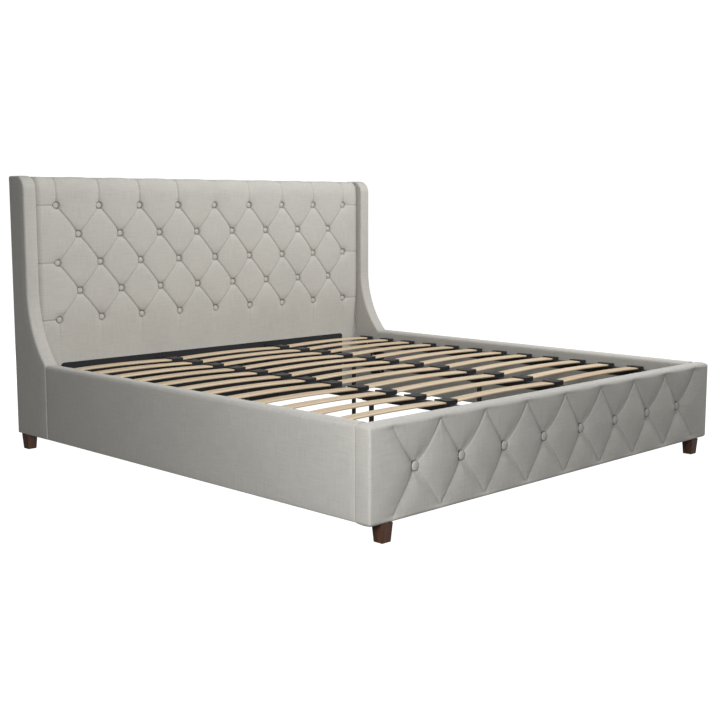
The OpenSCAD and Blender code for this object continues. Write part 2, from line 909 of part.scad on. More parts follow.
headboard_stile_left();
headboard_stile_right();
headboard_top_rail();
headboard_middle_rail();
headboard_bottom_rail();
headboard_uprights();
headboard_plywood();
headboard_tufted_cover();
headboard_buttons();
headboard_dust_cloth();
headboard_back_cover();
wing_board_left();
wing_board_right();
wing_cover_left();
wing_cover_right();
wing_bolts();
side_rail_board_left();
side_rail_board_right();
side_rail_cover_left();
side_rail_cover_right();
footboard_board();
footboard_tufted_cover();
footboard_buttons();
joint_plate_left();
joint_plate_right();
corner_bracket_left();
corner_bracket_right();
joint_bolts();
ledge_left();
ledge_right();
ledge_screws();
centre_rail_left();
centre_rail_right();
head_hangers();
foot_hangers();
hanger_screws();
centre_leg_head_left();
centre_leg_head_right();
centre_leg_foot_left();
centre_leg_foot_right();
leg_bolts();
glide_head_left();
glide_head_right();
glide_foot_left();
glide_foot_right();
slats_left();
slats_middle();
slats_right();
side_caps_left();
side_caps_right();
double_caps_left();
double_caps_right();
foot_head_left();
foot_head_right();
foot_front_left();
foot_front_right();
foot_bolts();
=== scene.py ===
# Upholstered king-size bed: the finished surfaces over its frame. Metres.
# +X is the bed's right-hand side seen from the foot end, +Y points to the head end, +Z is up.
import json
import math

import bmesh
import bpy
import numpy as np
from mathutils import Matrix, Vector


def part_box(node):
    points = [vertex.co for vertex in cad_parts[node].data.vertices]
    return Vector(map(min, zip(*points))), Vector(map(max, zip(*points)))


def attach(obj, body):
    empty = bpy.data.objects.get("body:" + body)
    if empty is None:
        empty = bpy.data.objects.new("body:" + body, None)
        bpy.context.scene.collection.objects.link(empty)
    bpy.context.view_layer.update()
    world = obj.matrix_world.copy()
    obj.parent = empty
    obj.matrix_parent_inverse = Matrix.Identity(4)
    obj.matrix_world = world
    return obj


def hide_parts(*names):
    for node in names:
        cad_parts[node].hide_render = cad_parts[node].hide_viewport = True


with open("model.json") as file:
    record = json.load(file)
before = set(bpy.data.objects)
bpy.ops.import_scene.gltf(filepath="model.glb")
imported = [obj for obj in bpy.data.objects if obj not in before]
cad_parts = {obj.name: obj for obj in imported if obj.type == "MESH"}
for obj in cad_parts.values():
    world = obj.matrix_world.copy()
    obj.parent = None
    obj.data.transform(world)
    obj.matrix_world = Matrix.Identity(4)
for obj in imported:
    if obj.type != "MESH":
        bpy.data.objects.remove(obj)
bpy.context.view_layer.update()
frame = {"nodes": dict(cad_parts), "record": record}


# ---- camera ----
# A short telephoto stands off the left-hand foot corner, with its eye a little above the
# headboard's middle.
camera_data = bpy.data.cameras.new("camera")
camera_data.lens = 59.17
camera_data.clip_end = 200.0
camera = bpy.data.objects.new("camera", camera_data)
camera.location = (-3.606, -3.617, 1.0745)
camera.rotation_euler = (math.radians(82.4477), 0.0, math.radians(-44.9323))
bpy.context.scene.collection.objects.link(camera)
bpy.context.scene.camera = camera


# ---- studio ----
# A pale floor, a dim soft dome, brighter from the foot end and from behind on the right, a large
# soft light over the mattress, a smaller one beside it on the right, one off the left corner and
# one behind the headboard.
class Wire:
    """One value on its way through a node tree; arithmetic on it adds Math nodes."""

    def __init__(self, tree, socket=None):
        self.tree = tree
        self.socket = socket

    def node(self, kind, settings=None, inputs=None, out=0):
        """Adds a node, sets its settings first, then fills its sockets with values or wires."""
        made = self.tree.nodes.new("ShaderNode" + kind)
        for name, value in (settings or {}).items():
            if name == "stops":
                while len(made.color_ramp.elements) < len(value):
                    made.color_ramp.elements.new(1.0)
                for element, (place, colour) in zip(made.color_ramp.elements, value):
                    element.position = place
                    element.color = (*colour, 1.0)
            else:
                setattr(made, name, value)
        for name, value in (inputs or {}).items():
            if isinstance(value, Wire):
                self.tree.links.new(value.socket, made.inputs[name])
            else:
                made.inputs[name].default_value = value
        return Wire(self.tree, made.outputs[out])

    def maths(self, operation, first, second=0.0):
        return self.node("Math", {"operation": operation}, {0: first, 1: second})

    def __add__(self, other):
        return self.maths("ADD", self, other)

    def __sub__(self, other):
        return self.maths("SUBTRACT", self, other)

    def __rsub__(self, other):
        return self.maths("SUBTRACT", other, self)

    def __mul__(self, other):
        return self.maths("MULTIPLY", self, other)

    __radd__ = __add__
    __rmul__ = __mul__

    def clipped(self):
        """The value held between 0 and 1."""
        return self.node("Clamp", None, {"Value": self})

    def stretched(self, x, y, z=1.0):
        """A vector with each of its parts multiplied by its own number."""
        return self.node("VectorMath", {"operation": "MULTIPLY"}, {0: self, 1: (x, y, z)})

    def part(self, number):
        """One part of a vector: 0 is x, 1 is y and 2 is z."""
        return self.node("SeparateXYZ", None, {0: self}, out=number)

    def noise(self, detail=2.0, roughness=0.5):
        """Cloudy noise from 0 to 1, about one cloud for each unit of the vector."""
        inputs = {"Vector": self, "Scale": 1.0, "Detail": detail, "Roughness": roughness}
        return self.node("TexNoise", None, inputs)

    def mixed(self, low, high):
        """The colour low where the value is 0, and high where it is 1."""
        settings = {"data_type": "RGBA", "clamp_factor": True}
        low = low if isinstance(low, Wire) else (*low, 1.0)
        high = high if isinstance(high, Wire) else (*high, 1.0)
        return self.node("Mix", settings, {0: self, 6: low, 7: high}, out=2)


def feed(shader, socket, wire):
    """Joins a wire to a shader's socket."""
    wire.tree.links.new(wire.socket, shader.inputs[socket])


scene = bpy.context.scene
scene.view_settings.view_transform = "Standard"

foot_glow = 0.35
back_glow = 0.42
faint_glow = 0.05
backdrop_white = 1.06
world = bpy.data.worlds.new("studio")
world.use_nodes = True
scene.world = world
dome = Wire(world.node_tree)
backdrop = world.node_tree.nodes["Background"]
backdrop.inputs["Color"].default_value = (1.0, 0.995, 0.98, 1.0)
direction = dome.node("TexCoord", out="Generated")
to_right = direction.part(0)
to_head = direction.part(1)
from_foot = (0.0 - to_head).clipped()
from_back = (to_head * 0.7 + to_right * 0.7).clipped()
glow = from_foot * foot_glow + from_back * back_glow + faint_glow
seen = dome.node("LightPath", out="Is Camera Ray")
feed(backdrop, "Strength", seen * backdrop_white + (1.0 - seen) * glow)

floor_half = 40.0
floor_mesh = bpy.data.meshes.new("floor")
floor_corners = [(x * floor_half, y * floor_half, 0.0) for x, y in ((-1, -1), (1, -1), (1, 1), (-1, 1))]
floor_mesh.from_pydata(floor_corners, [], [(0, 1, 2, 3)])
floor = bpy.data.objects.new("floor", floor_mesh)
scene.collection.objects.link(floor)
floor.visible_diffuse = False
floor.visible_glossy = False
floor_paint = bpy.data.materials.new("pale_floor")
floor_paint.use_nodes = True
floor_shader = floor_paint.node_tree.nodes["Principled BSDF"]
floor_shader.inputs["Base Color"].default_value = (0.25, 0.25, 0.25, 1.0)
floor_shader.inputs["Roughness"].default_value = 1.0
floor_shader.inputs["Specular IOR Level"].default_value = 0.0
floor_shader.inputs["Emission Color"].default_value = (1.0, 1.0, 1.0, 1.0)
floor_shader.inputs["Emission Strength"].default_value = 1.0
floor_mesh.materials.append(floor_paint)


def soft_light(name, place, target, size, watts):
    """A rectangular light at a place, turned to its target, unseen by the camera."""
    data = bpy.data.lights.new(name, "AREA")
    data.shape = "RECTANGLE"
    data.size, data.size_y = size
    data.energy = watts
    light = bpy.data.objects.new(name, data)
    light.location = place
    aim = np.subtract(target, place)
    light.rotation_euler = (
        math.atan2(math.hypot(aim[0], aim[1]), -aim[2]),
        0.0,
        math.atan2(aim[1], aim[0]) - math.pi / 2,
    )
    light.visible_camera = False
    scene.collection.objects.link(light)


soft_light("over_mattress", (0.2, -0.3, 3.0), (0.0, 0.2, 0.3), (2.4, 2.0), 35.0)
soft_light("right_of_foot", (1.6, -1.2, 2.3), (0.0, 0.9, 0.7), (0.7, 0.7), 35.0)
soft_light("left_corner", (-2.6, -2.0, 1.1), (-1.04, -1.0, 0.25), (0.7, 0.7), 45.0)
soft_light("behind_headboard", (0.2, 4.2, 1.1), (0.0, 1.1, 0.6), (2.4, 1.2), 45.0)


# ---- linen ----
# The upholstery is a plain-woven linen look: uneven warp and weft threads, thicker slubs here and
# there, a matt face with a little fuzz, and painted shade darkening the colour down in the folds.
def new_finish(name, **fixed):
    """A material, its first wire and its shader, with these sockets set all over."""
    made = bpy.data.materials.new(name)
    made.use_nodes = True
    shader = made.node_tree.nodes["Principled BSDF"]
    for socket, value in fixed.items():
        shader.inputs[socket.replace("_", " ")].default_value = value
    return made, Wire(made.node_tree), shader


def raised(wire, height, distance, strength=1.0):
    """A normal from a height, where distance is the height in metres that 1 stands for."""
    return wire.node("Bump", None, {"Height": height, "Distance": distance, "Strength": strength})


def linen_finish(name, light, dark, fold):
    """Linen on cloth coordinates in metres: streaks along each way of the weave, and fine threads.

    Each pair of numbers is how many clouds of noise there are to a metre across and up the cloth.
    The shade is the sum of the slubs, the threads and slow patches, each taken from its middle.
    """
    made, cloth, shader = new_finish(
        name, Roughness=0.9, Sheen_Weight=0.2, Sheen_Roughness=0.45, Specular_IOR_Level=0.25
    )
    place = cloth.node("UVMap", {"uv_map": "cloth"})
    warp_slub = place.stretched(330.0, 14.0).noise(3.0, 0.6)
    weft_slub = place.stretched(11.0, 290.0).noise(3.0, 0.6)
    warp = place.stretched(1150.0, 60.0).noise(1.0)
    weft = place.stretched(60.0, 1150.0).noise(1.0)
    wear = place.stretched(5.0, 5.0).noise(2.0)
    threads = warp * 0.5 + weft * 0.5
    slubs = warp_slub * 0.5 + weft_slub * 0.5
    shade = (slubs - 0.5) * 2.6 + (threads - 0.5) * 1.2 + (wear - 0.5) * 0.5 + 0.5
    # painted shade: a per-point attribute mixes the colour towards a dark shade colour down in the
    # pleats, round the buttons and beside the wings
    painted_crease_shade = cloth.node("Attribute", {"attribute_name": "fold"}, out="Fac")
    feed(shader, "Base Color", painted_crease_shade.mixed(shade.clipped().mixed(dark, light), fold))
    feed(shader, "Roughness", (slubs * 0.15 + 0.82).clipped())
    feed(shader, "Normal", raised(cloth, threads * 0.6 + slubs * 0.7, 0.0011, 0.55))
    return made


linen_light = (0.550, 0.536, 0.496)
linen_dark = (0.432, 0.421, 0.390)
# the dark colour painted into the folds as shade
linen_painted_fold_shade = (0.150, 0.140, 0.118)
linen = linen_finish("linen", linen_light, linen_dark, linen_painted_fold_shade)


# ---- headboard cover ----
# One piece of linen over foam and wadding on the plywood, drawn down by buttons in diamonds, its
# fullness laid in pleats from button to button and up over the top edge, where it is stapled.
def bell(distance, reach):
    """A bell: e to the power of minus the square of distance over reach."""
    return np.exp(-((distance / reach) ** 2))


def ramp(distance, length):
    """A straight rise from 0 to 1 as the distance goes from 0 to length, level outside that."""
    return np.clip(distance / length, 0.0, 1.0)


def graded(low, high, edge, step, rings=7):
    """Places from low to high: close together over a rounded edge at each end, then evenly."""
    close = edge * (1.0 - np.cos(np.linspace(0.0, math.pi / 2, rings)))
    count = max(2, int(round((high - low - 2 * edge) / step)))
    middle = np.linspace(low + edge, high - edge, count)
    return np.concatenate([low + close[:-1], middle, high - close[-2::-1]])


def grid_faces(rows, columns, first=0):
    """Four-cornered faces of a grid whose points are numbered row by row from first."""
    corner = (np.arange(rows - 1)[:, None] * columns + np.arange(columns - 1)[None, :]).ravel() + first
    return np.stack([corner, corner + columns, corner + columns + 1, corner + 1], axis=1)


def make_mesh(name, grids, rings=()):
    """An object from grids of (points, cloth coordinates, painted fold shade), whose shared borders are
    merged.

    Each grid's points are rows x columns x 3. A ring is a loop of point numbers closed as one face.
    """
    points = np.concatenate([g[0].reshape(-1, 3) for g in grids])
    cloth = np.concatenate([g[1].reshape(-1, 2) for g in grids])
    fold = np.concatenate([np.asarray(g[2], float).ravel() for g in grids])
    firsts = np.cumsum([0] + [g[0].shape[0] * g[0].shape[1] for g in grids])
    quads = np.concatenate([grid_faces(*g[0].shape[:2], first) for g, first in zip(grids, firsts)])
    corners = np.concatenate([quads.ravel(), *[np.asarray(r) for r in rings]]).astype(np.int32)
    sizes = np.concatenate([np.full(len(quads), 4), [len(r) for r in rings]]).astype(np.int32)
    mesh = bpy.data.meshes.new(name)
    mesh.vertices.add(len(points))
    mesh.vertices.foreach_set("co", points.ravel().astype(np.float32))
    mesh.loops.add(len(corners))
    mesh.loops.foreach_set("vertex_index", corners)
    mesh.polygons.add(len(sizes))
    mesh.polygons.foreach_set("loop_start", (np.cumsum(sizes) - sizes).astype(np.int32))
    mesh.polygons.foreach_set("use_smooth", np.ones(len(sizes), bool))
    mesh.update(calc_edges=True)
    layer = mesh.uv_layers.new(name="cloth")
    layer.uv.foreach_set("vector", cloth[corners].ravel().astype(np.float32))
    # painted shade: how far the linen's colour is darkened at each point, standing in for shade in the
    # folds
    attribute = mesh.attributes.new("fold", "FLOAT", "POINT")
    attribute.data.foreach_set("value", fold.astype(np.float32))
    work = bmesh.new()
    work.from_mesh(mesh)
    bmesh.ops.remove_doubles(work, verts=work.verts, dist=2e-6)
    bmesh.ops.recalc_face_normals(work, faces=work.faces)
    work.to_mesh(mesh)
    work.free()
    made = bpy.data.objects.new(name, mesh)
    scene.collection.objects.link(made)
    return made


def finish_piece(made, finish, slot, *nodes, body="frame"):
    """Gives a piece its finish, its body and the CAD nodes that it stands for."""
    made.data.materials.clear()
    made.data.materials.append(finish)
    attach(made, body)
    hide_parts(*nodes)
    return made


hem_held = 0.006


def settled(width, height, limit, held=None, slack=0.0, step=0.012, frames=16):
    """How far a stretched sheet swells over its foam, by cloth simulation.

    A flat grid is held along its hem, and where held(x, z) is true, and is blown out gently by
    pressure. The rise is limited softly: limit times the hyperbolic tangent of rise over limit.
    Returns the grid's two sets of places and the rise, in metres.
    """
    x = np.linspace(-width / 2, width / 2, int(round(width / step)) + 1)
    z = np.linspace(0.0, height, int(round(height / step)) + 1)
    grid_x, grid_z = np.meshgrid(x, z, indexing="ij")
    flat = np.stack([grid_x, np.zeros_like(grid_x), grid_z], axis=-1).reshape(-1, 3)
    mesh = bpy.data.meshes.new("sheet")
    mesh.from_pydata(flat, [], grid_faces(len(x), len(z)))
    sheet = bpy.data.objects.new("sheet", mesh)
    scene.collection.objects.link(sheet)
    group = sheet.vertex_groups.new(name="held")
    hem = (np.abs(grid_x) > width / 2 - hem_held) | (grid_z < hem_held) | (grid_z > height - hem_held)
    pinned = hem if held is None else hem | held(grid_x, grid_z)
    group.add(np.nonzero(pinned.ravel())[0].tolist(), 1.0, "REPLACE")
    modifier = sheet.modifiers.new("settle", "CLOTH")
    cloth = modifier.settings
    cloth.quality = 4
    cloth.mass = 0.3
    cloth.tension_stiffness = 15.0
    cloth.compression_stiffness = 15.0
    cloth.bending_stiffness = 0.5
    cloth.shrink_min = -slack
    cloth.use_pressure = True
    cloth.uniform_pressure_force = 4.0
    cloth.vertex_group_mass = "held"
    cloth.effector_weights.gravity = 0.0
    modifier.collision_settings.use_collision = False
    modifier.point_cache.frame_end = frames
    for number in range(1, frames + 1):
        scene.frame_set(number)
    result = sheet.evaluated_get(bpy.context.evaluated_depsgraph_get()).data
    moved = np.empty(len(result.vertices) * 3, np.float32)
    result.vertices.foreach_get("co", moved)
    rise = np.abs(moved.reshape(-1, 3)[:, 1]).reshape(len(x), len(z))
    bpy.data.objects.remove(sheet)
    bpy.data.meshes.remove(mesh)
    scene.frame_set(1)
    return x, z, limit * np.tanh(rise / limit)


def smooth_weights(fine, coarse):
    """Cubic weights that carry values at evenly spaced coarse places to the fine ones."""
    far = np.abs(fine[:, None] - coarse[None, :]) / (coarse[1] - coarse[0])
    near_part = 1.5 * far**3 - 2.5 * far**2 + 1.0
    far_part = -0.5 * far**3 + 2.5 * far**2 - 4.0 * far + 2.0
    weights = np.where(far < 1.0, near_part, np.where(far < 2.0, far_part, 0.0))
    return weights / weights.sum(axis=1, keepdims=True)


cover_low, cover_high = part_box("headboard_tufted_cover")
buttons_low, buttons_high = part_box("headboard_buttons")
ply_low, ply_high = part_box("headboard_plywood")
button_d = 0.026
button_columns = 8
button_rows = 4
column_step = (buttons_high.x - buttons_low.x - button_d) / (2 * button_columns)
row_step = (buttons_high.z - buttons_low.z - button_d) / button_rows
top_row_z = buttons_high.z - button_d / 2
wall_y = cover_high.y
panel_half = cover_high.x
crown_depth = wall_y - cover_low.y - 0.0015
plain_depth = 0.084
crown_blend_height = 0.25
ply_depth = wall_y - ply_low.y
frame_top = ply_high.z
crown_in = 0.036
crown_down = 0.072
back_r = 0.0115


def lattice(x, z):
    """Columns from the middle and rows down from the top row; a button is where they sum to even."""
    return x / column_step, (top_row_z - z) / row_step


def nearest_button(x, z):
    """Distance to the nearest headboard button, over the five rows of nine and eight."""
    best = np.full(np.broadcast(x, z).shape, 9.0)
    for row in range(button_rows + 1):
        odd = row % 2
        across = x / (2 * column_step) - odd / 2
        limit = button_columns / 2 - odd
        centre = np.clip(np.round(across), -button_columns / 2, limit) + odd / 2
        best = np.minimum(best, np.hypot(x - centre * 2 * column_step, z - top_row_z + row * row_step))
    return best


def pleat_distance(x, z):
    """Distance to the nearest pleat, whether the point is on its upper side, how full the pleat
    is, and how crisp it is and how dark its painted shade: falling pleats more than rising ones.

    Diagonals join the buttons; from the top row pleats run up, from the bottom row they fade out
    downwards, and from the outermost buttons of the longer rows they run level to the wings.
    """
    column, row = lattice(x, z)
    slope = 1.0 / math.hypot(1.0 / column_step, 1.0 / row_step)
    falling = (column - row) - 2 * np.round((column - row) / 2)
    rising = (column + row) - 2 * np.round((column + row) / 2)
    falling_nearer = np.abs(falling) < np.abs(rising)
    distance = np.where(falling_nearer, np.abs(falling), np.abs(rising)) * slope
    upper = np.where(falling_nearer, falling > 0, rising < 0)
    inside = (row >= 0) & (row <= button_rows) & (np.abs(column) <= button_columns)
    distance = np.where(inside, distance, 9.0)
    full = np.ones_like(distance)
    # falling pleats get deeper grooves and darker painted shade than rising ones
    crisp_and_shaded = np.where(falling_nearer, 1.1, 0.6)
    upright = np.abs(column - 2 * np.round(column / 2)) * column_step
    reach = np.where(row < 0, 1.0, np.clip(1.0 - (row - button_rows) * row_step / 0.14, 0.0, 1.0))
    reach = np.where(np.abs(column) < 1, 0.3 * reach, reach)
    above_or_below = ((row < 0) | (row > button_rows)) & (np.abs(column) < button_columns + 0.3)
    take = above_or_below & (upright < distance)
    distance = np.where(take, upright, distance)
    full = np.where(take, 0.75 * reach, full)
    upper = np.where(take, column > 2 * np.round(column / 2), upper)
    level = np.abs(row - 2 * np.round(row / 2)) * row_step
    beside = (np.abs(column) > button_columns) & (row > -0.3) & (row < button_rows + 0.3)
    take = beside & (level < distance)
    distance = np.where(take, level, distance)
    full = np.where(take, 0.7, full)
    upper = np.where(take, row < 2 * np.round(row / 2), upper)
    return distance, upper, full, crisp_and_shaded


tuft_pitch = 0.0033
foam_low = 0.385
foam_height = cover_high.z - foam_low + 0.085
held_half = 0.0065
rise_x, rise_z, foam_rise = settled(
    2 * panel_half,
    foam_height,
    limit=0.006,
    held=lambda x, z: pleat_distance(x, z + foam_low)[0] < held_half,
)

# the cover's section: up the front, over the top and down the back, where its hem laps the back
# panel; each point is a depth from the wall and a height
hem_drop = 0.004
hem_t = 0.0007
rows_low = np.linspace(cover_low.z, foam_low - 0.012, 26)
rows_front = np.arange(foam_low, cover_high.z - crown_down - 0.5 * tuft_pitch, tuft_pitch)
turn = np.linspace(0.0, math.pi / 2, 26)
back_turn = np.linspace(0.0, math.pi / 2, 8)
flat_top = np.linspace(crown_depth - crown_in, back_r, 22)[1:-1]
crown_blend = ramp(rows_front - foam_low, crown_blend_height)
face_depth = plain_depth + (crown_depth - plain_depth) * crown_blend**2 * (3 - 2 * crown_blend)
section_depth = np.concatenate([
    np.full(len(rows_low), plain_depth),
    face_depth,
    crown_depth - crown_in + crown_in * np.cos(turn),
    flat_top,
    back_r - back_r * np.sin(back_turn),
    [-hem_t],
])
section_z = np.concatenate([
    rows_low,
    rows_front,
    cover_high.z - crown_down + crown_down * np.sin(turn),
    np.full(len(flat_top), cover_high.z),
    cover_high.z - back_r + back_r * np.cos(back_turn),
    [frame_top - hem_drop],
])
run = np.concatenate([[0.0], np.cumsum(np.hypot(np.diff(section_depth), np.diff(section_z)))])
unrolled_z = section_z[0] + run
out_y = np.gradient(section_z, run)
out_z = -np.gradient(section_depth, run)
panel_x = np.linspace(-panel_half, panel_half, int(round(2 * panel_half / tuft_pitch)) + 1)
grid_x, grid_v = np.meshgrid(panel_x, unrolled_z, indexing="ij")

# how far each point is drawn in along the section's normal: a shallow valley with a sharp groove
# along each pleat, the upper side of which laps over; a pocket and a flat seat at each button;
# a dip where each pleat goes over the top edge; and a roll back to the wings
valley_dip = 0.0020
valley_dip_at_button = 0.0055
groove_dip = 0.0028
lap_rise = 0.0008
pocket_dip = 0.0052
seat_dip = 0.0085
seat_r = 0.0185
edge_dip = 0.0032
roll_dip = 0.013
roll_w = 0.034
swell_share = 0.6
foam_settling = 0.0035
distance, upper, full, crisp_and_shaded = pleat_distance(grid_x, grid_v)
full = full * ramp(cover_high.z + 0.055 - grid_v, 0.05)
to_button = nearest_button(grid_x, grid_v)
column = lattice(grid_x, grid_v)[0]
in_foam = grid_v - foam_low
from_wing = panel_half - np.abs(grid_x)
valley = (valley_dip + valley_dip_at_button * bell(to_button, 0.032)) * np.exp(-distance / 0.011) * full
groove = groove_dip * bell(distance, 0.0026) * full * crisp_and_shaded
lap = lap_rise * bell(distance - 0.006, 0.0035) * full * upper
pocket = pocket_dip * bell(to_button, 0.030)
seat = seat_dip * ramp(seat_r - to_button, 0.005)
over_top = ramp(grid_v - top_row_z, 0.08) * ramp(cover_high.z + 0.075 - grid_v, 0.05)
dip = edge_dip * np.cos(math.pi * column / 2) ** 4 * (np.abs(column) < button_columns + 1) * over_top
roll = roll_dip * ramp(roll_w - from_wing, roll_w) ** 2 * ramp(in_foam, 0.1)
swell = smooth_weights(panel_x, rise_x) @ foam_rise @ smooth_weights(unrolled_z, rise_z + foam_low).T
swell = np.where((in_foam > 0) & (in_foam < foam_height), swell, 0.0)
inward = valley + groove - lap + pocket + seat + roll + dip
inward = inward - swell_share * swell + foam_settling * ramp(in_foam, crown_blend_height)
inward = inward * ramp(foam_height - in_foam, 0.03)
depth = section_depth[None, :] - inward * out_y[None, :]
height = section_z[None, :] - inward * out_z[None, :]
cover_points = np.stack([grid_x, wall_y - depth, height], axis=-1)
# painted shade in the colour: dark lines along the pleats, a dark ring round each button and a darker
# strip where the cover rolls back beside the wings, where shade would fall
pleat_shade = 0.48 * bell(distance, 0.0022) * full * crisp_and_shaded
ring_shade = 0.55 * bell(to_button - 0.0145, 0.0028)
seam_shade = 0.45 * ramp(roll_w - from_wing, roll_w) * ramp(in_foam, 0.1)
cover_painted_shade = np.clip(pleat_shade + ring_shade + seam_shade, 0.0, 1.0)

# the cover's inner side, over the frame's top edge and down the plywood, closes the section
inner_gap = 0.0003
inner_path = [
    (-0.0001, frame_top - hem_drop),
    (-0.0001, frame_top + inner_gap),
    (ply_depth + inner_gap, frame_top + inner_gap),
    (ply_depth + inner_gap, cover_low.z),
]
inner = np.stack(
    [np.stack(np.broadcast_arrays(panel_x, wall_y - d, z), axis=-1) for d, z in inner_path], axis=1
)
whole = np.concatenate([cover_points, inner, cover_points[:, :1]], axis=1)
whole_cloth = np.stack([grid_x, grid_v], axis=-1)
whole_cloth = np.concatenate([whole_cloth, inner[..., ::2], cover_points[:, :1, ::2]], axis=1)
whole_painted_shade = np.pad(cover_painted_shade, ((0, 0), (0, len(inner_path) + 1)))
per_column = whole.shape[1]
left_end = np.arange(per_column - 1)
right_end = (len(panel_x) - 1) * per_column + left_end[::-1]
headboard_cover = make_mesh("headboard_cover", [(whole, whole_cloth, whole_painted_shade)], [left_end, right_end])
finish_piece(headboard_cover, linen, "linen", "headboard_tufted_cover")


# ---- covered buttons ----
# Pressed steel shells covered with the same linen, cut at any angle to the weave, and tied
# through the foam to the plywood.
def covered_buttons(name, centres, diameter, face_y, thickness, seed):
    """Domed discs facing -Y: each a profile of radius against height, turned round its centre."""
    dome = [(0.0, 1.0), (0.30, 0.985), (0.55, 0.93), (0.76, 0.83), (0.90, 0.68), (0.98, 0.50)]
    tucked = [(1.0, 0.36), (0.97, 0.2), (0.86, 0.06), (0.6, 0.0), (0.0, 0.0)]
    profile = np.array(dome + tucked)
    angle = np.linspace(0.0, 2 * math.pi, 29)
    turned = np.random.default_rng(seed).uniform(0.0, math.pi, len(centres))
    radius = profile[:, 0] * diameter / 2
    across = radius[:, None] * np.cos(angle)
    up = radius[:, None] * np.sin(angle)
    pucker = 1.0 + 0.02 * np.cos(9 * angle) * (profile[:, :1] > 0.9)
    grids = []
    for (x, z), twist in zip(centres, turned):
        y = face_y + thickness * (1.0 - profile[:, 1:]) + 0 * across
        points = np.stack([x + across * pucker, y, z + up * pucker], axis=-1)
        cloth = np.stack([
            x + across * math.cos(twist) - up * math.sin(twist),
            z + across * math.sin(twist) + up * math.cos(twist),
        ], axis=-1)
        # painted shade on the tucked rim behind each button, where it presses into the foam
        shade = 0.35 * (profile[:, 1:] < 0.3) * np.ones_like(across)
        grids.append((points, cloth, shade))
    return make_mesh(name, grids)


head_places = [
    ((2 * i - button_columns + row % 2) * column_step, top_row_z - row * row_step)
    for row in range(button_rows + 1)
    for i in range(button_columns + 1 - row % 2)
]
button_t = buttons_high.y - buttons_low.y
head_buttons = covered_buttons(
    "headboard_covered_buttons", head_places, button_d, buttons_low.y, button_t, seed=3
)
finish_piece(head_buttons, linen, "button_linen", "headboard_buttons")


# ---- wings ----
# A shaped board on each side of the headboard, padded all over and covered in two faces joined by
# a boxing strip; the front edge sweeps forward to meet the side rail.
def slab_grids(place, across, up, half, near, far, border_bulge):
    """A closed padded slab over a region of the plane.

    across and up are rows x columns in the plane, half is the half thickness there, and near and
    far are how far each face swells. A band of seven lines joins the faces round the border, and
    bulges outwards by border_bulge. place turns (across, up, thickness) into points.
    """
    def rim(values):
        return np.concatenate([values[0, :-1], values[:-1, -1], values[-1, :0:-1], values[::-1, 0]])

    top, bottom = half + near, -half - far
    rim_across, rim_up = rim(across), rim(up)
    run = np.concatenate([[0.0], np.cumsum(np.hypot(np.diff(rim_across), np.diff(rim_up)))])
    tangent = np.stack([np.gradient(rim_across), np.gradient(rim_up)])
    tangent /= np.maximum(np.hypot(*tangent), 1e-9)
    middle = np.array([across.mean(), up.mean()])
    normal = np.stack([tangent[1], -tangent[0]])
    if np.sum(normal[0] * (rim_across - middle[0]) + normal[1] * (rim_up - middle[1])) < 0:
        normal = -normal
    share = np.linspace(0.0, 1.0, 7)
    bulge = border_bulge * (1.0 - (2 * share - 1.0) ** 2)
    band = place(
        rim_across[:, None] + normal[0][:, None] * bulge,
        rim_up[:, None] + normal[1][:, None] * bulge,
        rim(top)[:, None] * (1.0 - share) + rim(bottom)[:, None] * share,
    )
    band_cloth = np.stack(np.broadcast_arrays(run[:, None], share * 2 * half.max()), axis=-1)
    cloth = np.stack([across, up], axis=-1)
    plain = np.zeros_like(across)
    return [
        (place(across, up, top), cloth, plain),
        (place(across, up, bottom), cloth, plain),
        (band, band_cloth, np.zeros(band.shape[:2])),
    ]


def round_off(distance, radius):
    """How much thinner one face is near a rounded edge of that radius."""
    near = np.clip(radius - distance, 0.0, radius)
    return radius - np.sqrt(np.maximum(radius**2 - near**2, 0.0))


wing_low, wing_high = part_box("wing_cover_right")
rail_low, rail_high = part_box("side_rail_cover_right")
wing_base = wing_high.y - wing_low.y
wing_depth = 0.118
sweep_r = 0.449
corner_r = 0.058
sweep_rise = math.sqrt(sweep_r**2 - (sweep_r - wing_base + wing_depth) ** 2)
sweep_centre = (wing_depth + sweep_r, rail_high.z + sweep_rise)
corner_centre = (wing_depth - corner_r, wing_high.z - corner_r)
wing_height = wing_high.z - wing_low.z
side_t = wing_high.x - wing_low.x
side_middle = (wing_high.x + wing_low.x) / 2
bottom_r = 0.006
seam_r = 0.005
front_edge_r = 0.008
back_edge_r = 0.004
top_edge_soft_r = 0.010
wing_clear = 0.0003
wing_pad = 0.0025
outer_share = 0.6
inner_share = 0.25
boxing_bulge = 0.0012

# the front edge from the floor up: straight, the hollow sweep, straight, and the round corner
sweep_from = math.asin((sweep_centre[1] - rail_high.z) / sweep_r)
sweep = np.linspace(sweep_from, 0.0, 60)
corner = np.linspace(0.0, math.pi / 2, 22)
low_z = np.concatenate([
    wing_low.z + bottom_r * (1.0 - np.cos(np.linspace(0.0, math.pi / 2, 6))),
    np.linspace(wing_low.z + bottom_r, rail_high.z, 42)[1:-1],
])
high_z = np.linspace(sweep_centre[1], corner_centre[1], 64)[1:-1]
edge_depth = np.concatenate([
    np.full(len(low_z), wing_base),
    sweep_centre[0] - sweep_r * np.cos(sweep),
    np.full(len(high_z), wing_depth),
    corner_centre[0] + corner_r * np.cos(corner),
])
edge_z = np.concatenate([
    low_z,
    sweep_centre[1] - sweep_r * np.sin(sweep),
    high_z,
    corner_centre[1] + corner_r * np.sin(corner),
])
shares = graded(0.0, 1.0, 0.16, 0.028, rings=8)
wing_d = edge_depth[:, None] * shares[None, :]
wing_z = np.broadcast_to(edge_z[:, None], wing_d.shape).copy()
